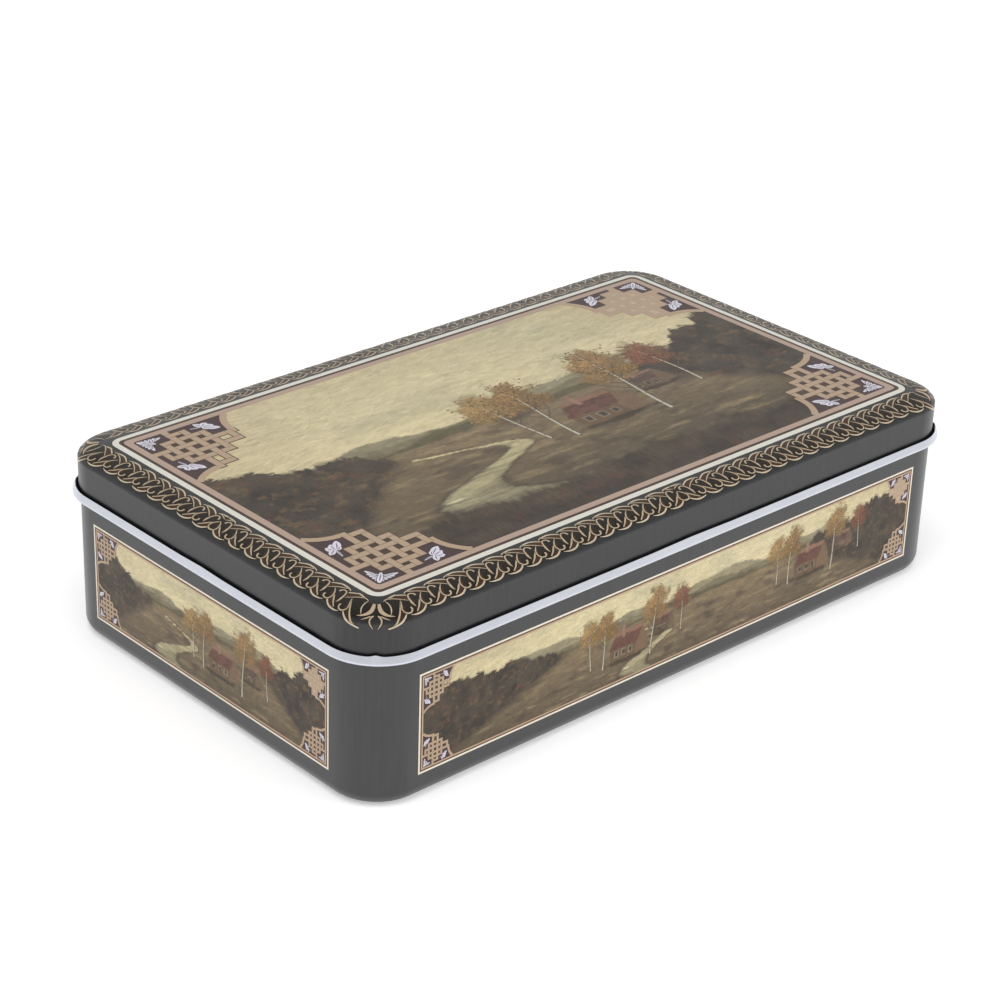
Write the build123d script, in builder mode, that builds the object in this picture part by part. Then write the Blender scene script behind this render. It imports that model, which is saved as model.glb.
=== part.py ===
from build123d import *
import os
from math import cos, floor, radians, sin, sqrt

# A slip-lid tin that holds a lotto set. Origin at the centre of the base, +X along the length.
# The long printed face is at -Y and the lid comes off upwards.
os.makedirs("parts", exist_ok=True)

# Tin body: sheet, outline and heights
sheet = 0.25
body_length = 234.2
body_width = 141.7
corner_radius = 15.5
base_radius = 4.5
lid_top = 59.7

# Lid: how far the skirt stands off the wall, its shoulder, and the hem turned out and up at its foot
lid_clearance = 0.25
shoulder_reach = 14.0
shoulder_drop = 3.7
lid_seat_gap = 0.3
hem_bottom = 44.75
hem_width = 2.1
hem_turn_radius = 0.75
hem_foot_radius = 0.6
hem_lean_angle = 25
hem_face = 1.9

# Facets of the round stretches of a section
shoulder_steps = 6
hem_steps = 4
foot_steps = 4

# Upper rim of the wall, folded flat inwards, and the side seam down the middle of the back
fold_gap = 0.1
rim_fold_depth = 4.0
seam_width = 5.0

# Bottom seam: the wall's foot and the plate's edge hook into each other
foot_reach = 9.0
hook_length = 2.8
panel_inset = 12.0
panel_rise = 0.8

# Game pieces
card_count = 24
card_stacks = 2
card_thickness = 1.2
keg_count = 90
keg_diameter = 16.8
keg_height = 24.0
keg_side_count = 12
keg_taper_angle = 4.5
keg_gap = 0.2
keg_row_angle = 60
side_room = 50.0
chip_side = 13.0
chip_thickness = 1.2
chips_long = 3
chips_wide = 2
chips_high = 10
chip_gap = 0.05
bag_height = 15.0
bag_radius = 5.0
leaf_thickness = 0.2
leaf_gap = 0.4
leaf_margin = 4.0
card_gap = 0.4
piece_gap = 1.2

# Levels and inner sizes that follow
skirt_outside = lid_clearance + sheet
shoulder_foot = lid_top - shoulder_drop
hook_top = 3 * sheet + 2 * fold_gap
plate_top = hook_top + fold_gap + sheet
floor_level = plate_top + panel_rise
rim_fold_width = 2 * sheet + fold_gap
inner_length = body_length - 2 * rim_fold_width
inner_width = body_width - 2 * rim_fold_width


def curve(centre, reach, rise, start, sweep, steps):
    """Points along a circular or elliptical arc, angles in degrees from the outward direction."""
    angles = [radians(start + sweep * step / steps) for step in range(steps + 1)]
    return [(centre[0] + reach * cos(angle), centre[1] + rise * sin(angle)) for angle in angles]


def carry_round(outline):
    """A ring of one section, straight along the four sides and turned round the four corners.

    The section's points are (distance out from the wall's outer face, height above the base).
    """
    runs = (body_length / 2 - corner_radius, body_width / 2 - corner_radius)
    with BuildSketch() as section:
        with BuildLine():
            Polyline(*outline, close=True)
        make_face()
    with BuildPart() as ring:
        for side in range(4):
            run = runs[side % 2]
            out = Vector(0, -1).rotate(Axis.Z, 90 * side)
            along = out.rotate(Axis.Z, 90)
            face_middle = out * (runs[1 - side % 2] + corner_radius)
            with BuildSketch(Plane(origin=face_middle, x_dir=out, z_dir=-along)):
                add(section.sketch)
            extrude(amount=run, both=True)
            with BuildSketch(Plane(origin=face_middle + along * run, x_dir=out, z_dir=-along)):
                add(section.sketch)
            corner_axis = Axis(face_middle + along * run - out * corner_radius, (0, 0, 1))
            revolve(axis=corner_axis, revolution_arc=90)
    return ring.part


# Height of the shoulder's underside above the outer face of the wall, which the lid rests on
shoulder_centre = skirt_outside - shoulder_reach
inner_reach = shoulder_reach - sheet
inner_drop = shoulder_drop - sheet
over_wall = shoulder_foot + inner_drop * sqrt(1 - (shoulder_centre / inner_reach) ** 2)
rim_top = over_wall - lid_seat_gap

# Lid: a flat top inside a shoulder that runs down into the skirt, and the hem at the skirt's foot
turn_centre = (lid_clearance + hem_turn_radius, hem_bottom + hem_turn_radius)
hem_foot_centre = (lid_clearance + hem_width - hem_foot_radius, hem_bottom + hem_foot_radius)


def hem_side(inset):
    """One face of the hem, from the skirt round its foot to the raw edge, inset from the bare outer face."""
    turn = hem_turn_radius - inset
    foot = hem_foot_radius - inset
    under = curve(turn_centre, turn, turn, 180, 90, hem_steps)
    round_foot = curve(hem_foot_centre, foot, foot, -90, 90 + hem_lean_angle, hem_steps)
    lean = radians(hem_lean_angle)
    start = round_foot[-1]
    raw_edge = (start[0] - hem_face * sin(lean), start[1] + hem_face * cos(lean))
    return under + round_foot + [raw_edge]


shoulder_origin = (shoulder_centre, shoulder_foot)
shoulder_outside = curve(shoulder_origin, shoulder_reach, shoulder_drop, 90, -90, shoulder_steps)
shoulder_inside = curve(shoulder_origin, inner_reach, inner_drop, 90, -90, shoulder_steps)
lid_outside = shoulder_outside + hem_side(sheet)
lid_inside = shoulder_inside + hem_side(0)
lid_ring = carry_round(lid_outside + lid_inside[::-1])
with BuildPart() as lid_shell:
    add(lid_ring)
    with BuildSketch(Plane.XY.offset(lid_top - sheet)):
        RectangleRounded(
            body_length + 2 * shoulder_centre,
            body_width + 2 * shoulder_centre,
            corner_radius + shoulder_centre,
        )
    extrude(amount=sheet)
lid_shell.part.label = "lid_shell"
export_step(lid_shell.part, "parts/lid_shell.step")

# Wall: one strip with its top edge folded in, its foot rounded under and hooked back, and a lock seam
foot_end = -foot_reach
foot_centre = (-base_radius, base_radius)
fold_foot = rim_top - rim_fold_depth
wall_ring = carry_round(
    [
        (0, rim_top),
        (-rim_fold_width, rim_top),
        (-rim_fold_width, fold_foot),
        (-rim_fold_width + sheet, fold_foot),
        (-rim_fold_width + sheet, rim_top - sheet),
        (-sheet, rim_top - sheet),
    ]
    + curve(foot_centre, base_radius - sheet, base_radius - sheet, 0, -90, foot_steps)
    + [
        (foot_end + sheet, sheet),
        (foot_end + sheet, hook_top - sheet),
        (foot_end + hook_length, hook_top - sheet),
        (foot_end + hook_length, hook_top),
        (foot_end, hook_top),
        (foot_end, 0),
    ]
    + curve(foot_centre, base_radius, base_radius, -90, 90, foot_steps)
)
with BuildPart() as body_wall:
    add(wall_ring)
    with BuildSketch(Plane.XY.offset(base_radius)):
        with Locations((0, body_width / 2 - sheet)):
            Rectangle(seam_width, rim_fold_width - sheet, align=(Align.CENTER, Align.MAX))
    extrude(amount=fold_foot - base_radius)
body_wall.part.label = "body_wall"
export_step(body_wall.part, "parts/body_wall.step")

# Bottom plate: a pressed panel whose edge turns down and tucks in under the wall's hook
tuck_level = sheet + fold_gap
plate_edge = foot_end + hook_length + fold_gap + sheet
tuck_end = foot_end + sheet + fold_gap
step_foot = -panel_inset
step_top = step_foot - panel_rise
plate_ring = carry_round(
    [
        (step_top, floor_level),
        (step_foot, plate_top),
        (plate_edge, plate_top),
        (plate_edge, tuck_level),
        (tuck_end, tuck_level),
        (tuck_end, tuck_level + sheet),
        (plate_edge - sheet, tuck_level + sheet),
        (plate_edge - sheet, plate_top - sheet),
        (step_foot, plate_top - sheet),
        (step_top, floor_level - sheet),
    ]
)
with BuildPart() as bottom_plate:
    add(plate_ring)
    with BuildSketch(Plane.XY.offset(floor_level - sheet)):
        RectangleRounded(body_length + 2 * step_top, body_width + 2 * step_top, corner_radius + step_top)
    extrude(amount=sheet)
bottom_plate.part.label = "bottom_plate"
export_step(bottom_plate.part, "parts/bottom_plate.step")

# How far a square corner has to stand in from a round one, as a share of the round one's radius
corner_share = 1 - 1 / sqrt(2)

# Cards: two stacks side by side on the raised panel, clear of the wall's rounded foot
foot_drop = max(base_radius - floor_level, 0)
foot_inset = base_radius - sqrt((base_radius - sheet) ** 2 - foot_drop**2)
card_inset = foot_inset + corner_share * (corner_radius - foot_inset) + card_gap
card_length = body_length - 2 * card_inset
card_width = (body_width - 2 * card_inset - (card_stacks - 1) * card_gap) / card_stacks
cards_high = card_count // card_stacks
for number in range(card_count):
    stack, layer = divmod(number, cards_high)
    across = (stack - (card_stacks - 1) / 2) * (card_width + card_gap)
    name = f"card_{number + 1:02d}"
    with BuildPart() as card:
        with BuildSketch(Plane.XY.offset(floor_level + layer * card_thickness)):
            with Locations((0, across)):
                Rectangle(card_length, card_width)
        extrude(amount=card_thickness)
    card.part.label = name
    export_step(card.part, f"parts/{name}.step")

# Kegs: turned barrels standing on the cards in close-packed columns, drawn with flats in place of the round
table_level = floor_level + cards_high * card_thickness
keg_pitch = keg_diameter + keg_gap
column_pitch = keg_pitch * sin(radians(keg_row_angle))
column_space = inner_length - side_room - 2 * piece_gap - keg_diameter
columns = floor(column_space / column_pitch) + 1
most_rows = floor((inner_width - 2 * piece_gap + keg_gap) / keg_pitch)
first_column = -inner_length / 2 + piece_gap + keg_diameter / 2
keg_spots = []
for column in range(columns):
    rows = most_rows - 1 + column % 2
    for row in range(rows):
        keg_spots.append((first_column + column * column_pitch, (row - (rows - 1) / 2) * keg_pitch))
with BuildPart() as keg:
    with BuildSketch(Plane.XY.offset(keg_height / 2)):
        RegularPolygon(keg_diameter / 2, keg_side_count)
    extrude(amount=keg_height / 2, taper=keg_taper_angle)
    mirror(about=Plane.XY.offset(keg_height / 2))
with BuildPart() as kegs:
    with Locations(Plane.XY.offset(table_level)):
        with Locations(*keg_spots[:keg_count]):
            add(keg.part)
kegs.part.label = "kegs"
export_step(kegs.part, "parts/kegs.step")

# Side room beside the kegs, with the insets that keep square and rounded pieces off the tin's corners
inner_corner = corner_radius - rim_fold_width
square_inset = corner_share * inner_corner + piece_gap
bag_inset = corner_share * (inner_corner - bag_radius) + piece_gap
side_start = inner_length / 2 - side_room

# Cover chips: square stacks in the front corner of the side room
chip_pitch = chip_side + piece_gap
chips_start = -inner_width / 2 + square_inset
chips_end = chips_start + chips_wide * chip_pitch
chip_middle = (
    side_start + (chips_long * chip_pitch - piece_gap) / 2,
    chips_start + (chips_wide * chip_pitch - piece_gap) / 2,
)
with BuildPart() as chips:
    for layer in range(chips_high):
        with BuildSketch(Plane.XY.offset(table_level + layer * (chip_thickness + chip_gap))):
            with Locations(chip_middle):
                with GridLocations(chip_pitch, chip_pitch, chips_long, chips_wide):
                    Rectangle(chip_side, chip_side)
        extrude(amount=chip_thickness)
chips.part.label = "chips"
export_step(chips.part, "parts/chips.step")

# Keg bag: cotton, empty and folded into the rest of the side room
bag_size = (side_room - bag_inset, inner_width / 2 - bag_inset - chips_end)
bag_middle = (side_start + bag_size[0] / 2, chips_end + bag_size[1] / 2)
with BuildPart() as keg_bag:
    with BuildSketch(Plane.XY.offset(table_level)):
        with Locations(bag_middle):
            RectangleRounded(*bag_size, bag_radius)
    extrude(amount=bag_height)
keg_bag.part.label = "keg_bag"
export_step(keg_bag.part, "parts/keg_bag.step")

# Rules leaflet: one sheet folded once, lying on the bag
leaf_length = bag_size[1] - 2 * leaf_margin
leaf_right = bag_size[0] / 2 - leaf_margin
leaf_top = 2 * leaf_thickness + leaf_gap
leaf_plane = Plane(
    origin=(bag_middle[0], bag_middle[1], table_level + bag_height), x_dir=(1, 0, 0), z_dir=(0, -1, 0)
)
with BuildPart() as rules_leaflet:
    with BuildSketch(leaf_plane):
        with BuildLine():
            Polyline(
                (leaf_right, 0),
                (-leaf_right, 0),
                (-leaf_right, leaf_top),
                (leaf_right, leaf_top),
                (leaf_right, leaf_top - leaf_thickness),
                (leaf_thickness - leaf_right, leaf_top - leaf_thickness),
                (leaf_thickness - leaf_right, leaf_thickness),
                (leaf_right, leaf_thickness),
                close=True,
            )
        make_face()
    extrude(amount=leaf_length / 2, both=True)
rules_leaflet.part.label = "rules_leaflet"
export_step(rules_leaflet.part, "parts/rules_leaflet.step")
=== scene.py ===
from math import asin, cos, degrees, pi, radians, sin, sqrt

import bpy
import numpy as np
from mathutils import Matrix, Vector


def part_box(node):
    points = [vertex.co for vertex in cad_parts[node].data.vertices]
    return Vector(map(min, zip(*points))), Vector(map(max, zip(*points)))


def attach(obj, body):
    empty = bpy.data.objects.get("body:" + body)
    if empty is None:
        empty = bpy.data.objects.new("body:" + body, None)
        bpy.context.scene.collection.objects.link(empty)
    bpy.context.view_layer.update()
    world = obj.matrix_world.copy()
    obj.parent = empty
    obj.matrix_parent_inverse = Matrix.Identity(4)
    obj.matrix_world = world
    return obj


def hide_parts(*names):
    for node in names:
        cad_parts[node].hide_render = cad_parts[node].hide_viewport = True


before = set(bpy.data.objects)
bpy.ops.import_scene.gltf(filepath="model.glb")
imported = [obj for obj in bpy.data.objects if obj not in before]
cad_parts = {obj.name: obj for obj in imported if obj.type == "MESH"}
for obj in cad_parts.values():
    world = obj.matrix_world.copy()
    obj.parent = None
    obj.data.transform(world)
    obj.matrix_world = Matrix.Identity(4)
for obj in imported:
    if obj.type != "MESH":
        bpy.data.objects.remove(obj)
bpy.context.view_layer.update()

# Lengths are in millimetres until a piece is made, which turns them into metres.
METRE = 1000.0


def span(node):
    """Lowest and highest corner of a node, in millimetres."""
    low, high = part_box(node)
    return np.array(low) * METRE, np.array(high) * METRE


WALL_HIGH = span("body_wall")[1]
LID_LOW, LID_HIGH = span("lid_shell")

# Tin: outline of the wall, sheet, and the lid's section
HALF_X, HALF_Y = WALL_HIGH[:2]
CORNER = 15.5
QUARTER = CORNER * pi / 2
SHEET = 0.25
RUNS = (HALF_X - CORNER, HALF_Y - CORNER)
HALF_SIDES = (RUNS[0] + QUARTER / 2, RUNS[1] + QUARTER / 2)
SIDE_OUT = ((0, -1), (1, 0), (0, 1), (-1, 0))
SKIRT_OUT = 0.5
SHOULDER_REACH = 14.0
SHOULDER_DROP = 3.7
PRINT_ROOM = 0.09
LID_TOP = LID_HIGH[2] - PRINT_ROOM
SHOULDER_START = SKIRT_OUT - SHOULDER_REACH
SHOULDER_FOOT = LID_TOP - SHOULDER_DROP

# Heights of the printed layers above the lacquer
LAYER = 0.005
PAINTING, BRUSHWORK, TRUNKS, LATTICE, GROUND, INK = 0.008, 0.01, 0.023, 0.026, 0.028, 0.0475
BRUSH_ROOM = 0.0115


def linear(colour):
    """A colour as seen on a screen, from 0 to 255, turned into linear light. An array is linear already."""
    if isinstance(colour, np.ndarray):
        return colour
    share = np.array(colour) / 255
    return np.where(share <= 0.04045, share / 12.92, ((share + 0.055) / 1.055) ** 2.4)


WHITE = (255, 255, 255)
IVORY = (229, 227, 216)
BAND_TAN = (184, 160, 143)
STRAP_TAN, STRAP_SHADE = (185, 160, 134), (132, 104, 84)
DARK_BROWN, CORNER_GROUND, HOLE_TAN = (66, 46, 34), (62, 42, 44), (196, 178, 148)
SPRIG, VEIN = (226, 222, 234), (78, 62, 84)
GOLD, GOLD_PALE = (192, 172, 144), (206, 192, 168)
LEAF_GOLD = linear(GOLD_PALE) * 0.8 + linear(GOLD) * 0.2
LEAF_BROWN, SCROLL_GROUND = (62, 36, 16), (15, 10, 6)
FRAME_CREAM, FRAME_TAN, SEAM_LINE = (240, 230, 212), (192, 160, 130), (52, 48, 46)


class Piece:
    """Points, faces, inks and finishes of one mesh."""

    def __init__(self):
        self.points, self.inks, self.faces, self.finishes = [], [], [], []
        self.count = 0

    def add(self, points, faces, ink=WHITE, finish=0):
        """Adds points in millimetres, with faces that number them from 0."""
        points = np.reshape(points, (-1, 3))
        self.points.append(points)
        self.inks.append(np.broadcast_to(linear(ink).reshape(-1, 3), points.shape))
        self.faces += [tuple(i + self.count for i in face) for face in faces]
        self.finishes += [finish] * len(faces)
        self.count += len(points)

    def grid(self, points, ink=WHITE, finish=0, ring=False):
        """Adds a sheet of points in rows and columns, closed along the row where it is a ring."""
        rows, columns = points.shape[:2]
        up = np.arange(rows - 1)[:, None] * columns
        across = np.arange(columns if ring else columns - 1)
        beside = (across + 1) % columns
        corners = (up + across, up + beside, up + columns + beside, up + columns + across)
        self.add(points, np.stack(corners, -1).reshape(-1, 4).tolist(), ink, finish)

    def cap(self, points, ink=WHITE, finish=0, flip=False):
        """Adds one face round a ring of points."""
        order = range(len(points))
        self.add(points, [order[::-1] if flip else order], ink, finish)

    def slab(self, first, second, ink=WHITE):
        """Adds two sheets, one on each side of a thin board or cloth, and the four rims between them."""
        self.grid(first, ink)
        self.grid(second[:, ::-1], ink)
        for end, way in ((0, -1), (-1, 1)):
            self.grid(np.stack([first[:, end], second[:, end]], 1)[:, ::way], ink)
            self.grid(np.stack([first[end], second[end]])[:, ::-way], ink)

    def make(self, name, materials, body=None, replaced=None, crease=40):
        """Turns the piece into an object, which rides on a body unless it is scenery."""
        mesh = bpy.data.meshes.new(name)
        mesh.from_pydata((np.concatenate(self.points) / METRE).tolist(), [], self.faces)
        for material in materials:
            mesh.materials.append(material)
        mesh.polygons.foreach_set("material_index", self.finishes)
        colours = np.concatenate([np.concatenate(self.inks), np.ones((self.count, 1))], 1)
        ink = mesh.color_attributes.new(name="ink", type="FLOAT_COLOR", domain="POINT")
        ink.data.foreach_set("color", colours.astype(np.float32).ravel())
        mesh.shade_smooth()
        mesh.set_sharp_from_angle(angle=radians(crease))
        made = bpy.data.objects.new(name, mesh)
        bpy.context.scene.collection.objects.link(made)
        if body:
            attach(made, body)
        if replaced:
            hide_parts(replaced)
        return made


# Places on the tin. Print is placed by spots, pairs of lengths on a surface, and a lift above it.

def raised(plan, heights):
    """Points in space from points in the plan and their heights."""
    return np.concatenate([plan, np.broadcast_to(heights, plan.shape[:-1])[..., None]], -1)


def beside(side, along, out):
    """Plan points at a length along a side of the wall from its middle, so far out from the wall."""
    along, out = np.broadcast_arrays(along, out)
    outward = np.array(SIDE_OUT[side], float)
    onward = np.array((-outward[1], outward[0]))
    run = RUNS[side % 2]
    middle = (HALF_Y, HALF_X)[side % 2]
    turn = np.clip(np.abs(along) - run, 0, None) / CORNER * np.sign(along)
    direction = np.cos(turn)[..., None] * outward + np.sin(turn)[..., None] * onward
    centre = (middle - CORNER) * outward + np.clip(along, -run, run)[..., None] * onward
    return centre + direction * (CORNER + out)[..., None]


def ring(corner_steps, straight_steps=12):
    """Sides and lengths along them that go once round the tin."""
    stops = []
    for side in range(4):
        run = RUNS[side % 2]
        turn = np.linspace(0, QUARTER / 2, corner_steps // 2 + 1)
        straight = np.linspace(-run, run, straight_steps + 1)
        stops += [(side, length) for length in (*(-run - turn[:0:-1]), *straight, *(run + turn[1:-1]))]
    return stops


def carry_round(section, stops):
    """Grid of points: a section of (out, height) points carried round the tin."""
    return np.stack([raised(beside(*stop, section[:, 0]), section[:, 1]) for stop in stops], 1)


def ways(turns):
    """Directions in the plane at the given turns."""
    return np.stack([np.cos(turns), np.sin(turns)], -1)


def arc(centre, radius, start, sweep, steps):
    """Points along an arc, whose radius is one number or two, with angles in degrees."""
    return centre + radius * ways(np.radians(start + sweep * np.arange(steps + 1) / steps))


def lengths_along(line):
    """Length from the start of a line to each of its points."""
    return np.append(0, np.cumsum(np.linalg.norm(np.diff(line, axis=0), axis=1)))


SHOULDER_TURNS = np.linspace(0, pi / 2, 400)
SHOULDER_LENGTHS = lengths_along(ways(SHOULDER_TURNS) * (SHOULDER_DROP, SHOULDER_REACH))


def on_shoulder(side):
    """Places print on the lid by the length along a side and the length out from the flat top."""

    def place(spots, lift):
        along, out = spots[..., 0], spots[..., 1]
        turn = np.interp(out, SHOULDER_LENGTHS, SHOULDER_TURNS)
        slope = np.arctan2(SHOULDER_DROP * np.sin(turn), SHOULDER_REACH * np.cos(turn))
        flat, skirt = np.clip(out, None, 0), np.clip(out - SHOULDER_LENGTHS[-1], 0, None)
        reach = SHOULDER_START + SHOULDER_REACH * np.sin(turn) + flat + lift * np.sin(slope)
        height = SHOULDER_FOOT + SHOULDER_DROP * np.cos(turn) - skirt + lift * np.cos(slope)
        return raised(beside(side, along, reach), height)

    return place


def on_top(spots, lift):
    """Places print on the lid by its plan position."""
    over = np.abs(spots) - RUNS
    out = np.linalg.norm(np.clip(over, 0, None), axis=-1) + np.minimum(over.max(-1), 0) - CORNER
    share = np.clip((out - SHOULDER_START) / SHOULDER_REACH, 0, 1)
    return raised(spots, SHOULDER_FOOT + SHOULDER_DROP * np.sqrt(1 - share**2) + lift)


def on_wall(side):
    """Places print on a side of the wall by the length along it and the height."""
    return lambda spots, lift: raised(beside(side, spots[..., 0], lift), spots[..., 1])


def moved(place, origin, scale=1):
    """The same surface, its spots counted from an origin and on a scale."""
    return lambda spots, lift: place(origin + spots * scale, lift)


def swapped(place):
    """The same surface, the two lengths of each spot swapped."""
    return lambda spots, lift: place(spots[..., ::-1], lift)


# Drawing with ink

def smooth(points, step):
    """A smooth curve through points, sampled about a step apart."""
    points = np.array(points, float)
    ends = np.concatenate([[2 * points[0] - points[1]], points, [2 * points[-1] - points[-2]]])
    sampled = []
    for before, start, end, after in zip(ends, ends[1:], ends[2:], ends[3:]):
        count = max(2, int(np.linalg.norm(end - start) / step) + 1)
        t = np.arange(count)[:, None] / count
        bend = (before - 2.5 * start + 2 * end - after / 2) * t**2
        twist = (1.5 * start - before / 2 - 1.5 * end + after / 2) * t**3
        sampled.append(start + (end - before) * t / 2 + bend + twist)
    return np.concatenate(sampled + [points[-1:]])


def evenly(line, count):
    """The same line with so many points, evenly spaced."""
    lengths = lengths_along(line)
    wanted = np.linspace(0, lengths[-1], count)
    return np.stack([np.interp(wanted, lengths, line[:, k]) for k in range(2)], 1)


def sideways(line):
    """Directions to the left of a line, at each of its points."""
    tangent = np.gradient(line, axis=0)
    tangent /= np.maximum(np.linalg.norm(tangent, axis=1, keepdims=True), 1e-9)
    return np.stack([-tangent[:, 1], tangent[:, 0]], 1)


def lines_between(first, second, count):
    """Lines in even steps from one line to another."""
    share = np.linspace(0, 1, count)[:, None, None]
    return first * (1 - share) + second * share


def stroke(piece, place, line, widths, ink, lift):
    """A line of ink whose width runs through the given values."""
    width = np.interp(np.linspace(0, 1, len(line)), np.linspace(0, 1, len(widths)), widths)[:, None]
    half = sideways(line) * width / 2
    piece.grid(place(np.stack([line + half, line, line - half]), lift), ink)


def rimmed(piece, place, line, widths, ink, lift, rim=0.34):
    """A line of ink with a dark rim under it."""
    stroke(piece, place, line, np.add(widths, rim), SCROLL_GROUND, lift)
    stroke(piece, place, line, widths, ink, lift + LAYER / 4)


def patch(piece, place, first, second, ink, lift, steps=24):
    """The area between two lines."""
    piece.grid(place(lines_between(evenly(first, steps), evenly(second, steps), 5), lift), ink)


def bar(piece, place, across, above, ink, lift):
    """A rectangle of ink, given by its limits both ways."""
    piece.grid(place(np.stack(np.meshgrid(across, above), -1), lift), ink)


def rounded(half_x, half_y, radius, steps=8):
    """Outline of a rounded rectangle."""
    arcs = []
    for quarter, (way_x, way_y) in enumerate(((1, 1), (-1, 1), (-1, -1), (1, -1))):
        centre = (way_x * (half_x - radius), way_y * (half_y - radius))
        arcs.append(arc(centre, radius, 90 * quarter, 90, steps))
    return np.concatenate(arcs)


def line_round(piece, place, half_x, half_y, radius, width, ink, lift, least=0.01):
    """A line round a rounded rectangle, of which half_x, half_y and radius are the outer edge's."""
    long_side, pieces = 5, 40
    rows = []
    for inset, turn in ((0, radius), (width, max(radius - width, least))):
        edge = rounded(half_x - inset, half_y - inset, turn)
        closed = np.append(edge, edge[:1], 0)
        fine = [np.linspace(a, b, pieces, endpoint=False) if np.linalg.norm(b - a) > long_side else a[None]
                for a, b in zip(closed, closed[1:])]
        rows.append(np.concatenate(fine))
    piece.grid(place(np.stack(rows), lift), ink, ring=True)


# Finishes

class Nodes:
    """The nodes of a material or of the sky. Their inputs are values or the outputs of other nodes."""

    def __init__(self, owner):
        owner.use_nodes = True
        self.owner, self.tree = owner, owner.node_tree

    def feed(self, node, inputs):
        """Sets or links a node's inputs."""
        for name, value in inputs.items():
            if isinstance(value, bpy.types.NodeSocket):
                self.tree.links.new(value, node.inputs[name])
            else:
                node.inputs[name].default_value = value

    def add(self, kind, inputs, output=0, **settings):
        """Adds a node and gives one of its outputs."""
        node = self.tree.nodes.new("ShaderNode" + kind)
        for name, value in settings.items():
            setattr(node, name, value)
        self.feed(node, inputs)
        return node.outputs[output]

    def noise(self, scale, detail=4.0, stretch=(1, 1, 1)):
        """Noise in the object's own coordinates, stretched along an axis by a small factor."""
        place = self.add("Mapping", {"Vector": self.add("TexCoord", {}, "Object"), "Scale": stretch})
        inputs = {"Vector": place, "Scale": scale, "Detail": detail, "Roughness": 0.55}
        return self.add("TexNoise", inputs, "Fac")

    def carried(self):
        """The colour that the points carry."""
        return self.add("VertexColor", {}, "Color", layer_name="ink")

    def ramp(self, value, low, high, start=0.3, end=0.7):
        """A value stretched to run from low to high."""
        limits = {"From Min": start, "From Max": end, "To Min": low, "To Max": high}
        return self.add("MapRange", {"Value": value, **limits})

    def mix(self, value, most, first, second, *limits):
        """Two colours, each a colour or an output, the second up to its most where a value is high."""
        inputs = {0: self.ramp(value, 0, most, *limits)}
        for name, tone in ((6, first), (7, second)):
            inputs[name] = tone if isinstance(tone, bpy.types.NodeSocket) else (*linear(tone), 1)
        return self.add("Mix", inputs, 2, data_type="RGBA")

    def shade(self, tone, layers, rough=None, bump=None, more=()):
        """Gives the shader a tone with other tones mixed into it, a roughness, a bump and constants."""
        for value, most, other in layers:
            tone = self.mix(value, most, tone, other)
        inputs = {"Base Color": tone, **dict(more)}
        if rough:
            inputs["Roughness"] = self.ramp(*rough)
        if bump:
            height, strength, distance = bump
            relief = {"Height": height, "Strength": strength, "Distance": distance / METRE}
            inputs["Normal"] = self.add("Bump", relief)
        self.feed(self.tree.nodes["Principled BSDF"], inputs)
        return self.owner


def new_finish(name):
    """The nodes of a new material."""
    return Nodes(bpy.data.materials.new(name))


def lacquer_finish(name, gloss):
    """Satin charcoal lacquer with faint upright streaks."""
    nodes = new_finish(name)
    streaks, cloud = nodes.noise(900, stretch=(1, 1, 0.06)), nodes.noise(30)
    layers = ((streaks, 1, (35, 36, 37)), (cloud, 0.35, (40, 39, 42)))
    gloss = {"Specular IOR Level": gloss}
    return nodes.shade((18, 19, 20), layers, (streaks, 0.27, 0.36), (cloud, 0.25, 0.05), gloss)


def tin_finish():
    """Bare tinplate, pale and satin."""
    nodes = new_finish("tinplate")
    grain, cloud = nodes.noise(4200, 3.0, (1, 1, 0.2)), nodes.noise(60)
    layers = ((grain, 1, (224, 226, 234)), (cloud, 0.4, (205, 207, 218)))
    return nodes.shade((209, 211, 219), layers, (grain, 0.28, 0.34), (cloud, 0.2, 0.05), {"Metallic": 0.9})


def ink_finish():
    """Printed ink under a thin varnish, its colour carried by the points."""
    nodes = new_finish("print_ink")
    wear, gloss = (nodes.noise(2600, 2.0), 0.22, (96, 84, 70)), {"Specular IOR Level": 0.28}
    return nodes.shade(nodes.carried(), (wear,), (nodes.noise(120), 0.3, 0.42), more=gloss)


def wood_finish():
    """Turned birch, its tone carried by the points, with fine upright grain."""
    nodes = new_finish("keg_birch")
    grain, rings = nodes.noise(1100, 5.0, (1, 1, 0.08)), nodes.noise(260, 2.0, (1, 0.25, 1))
    layers = ((grain, 0.55, (176, 128, 78)), (rings, 0.3, (150, 104, 62)))
    return nodes.shade(nodes.carried(), layers, (grain, 0.5, 0.66), (grain, 0.5, 0.08))


def board_finish(name, face, edge, scale):
    """Grey board with a printed face: fibres all over and thin plies along its edges."""
    nodes = new_finish(name)
    fibre, plies = nodes.noise(scale, 6.0), nodes.noise(700, 2.0, (0.04, 0.04, 4.0))
    upright = nodes.add("SeparateXYZ", {"Vector": nodes.add("NewGeometry", {}, "Normal")}, "Z")
    level = nodes.add("Math", {0: upright}, operation="ABSOLUTE")
    side = nodes.mix(plies, 1, edge, linear(edge) * 0.62)
    tone, shade = nodes.mix(level, 1, side, face, 0.5, 0.8), linear(face) * 0.72
    return nodes.shade(tone, ((fibre, 0.3, shade),), (fibre, 0.62, 0.8), (fibre, 0.35, 0.06))


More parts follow.
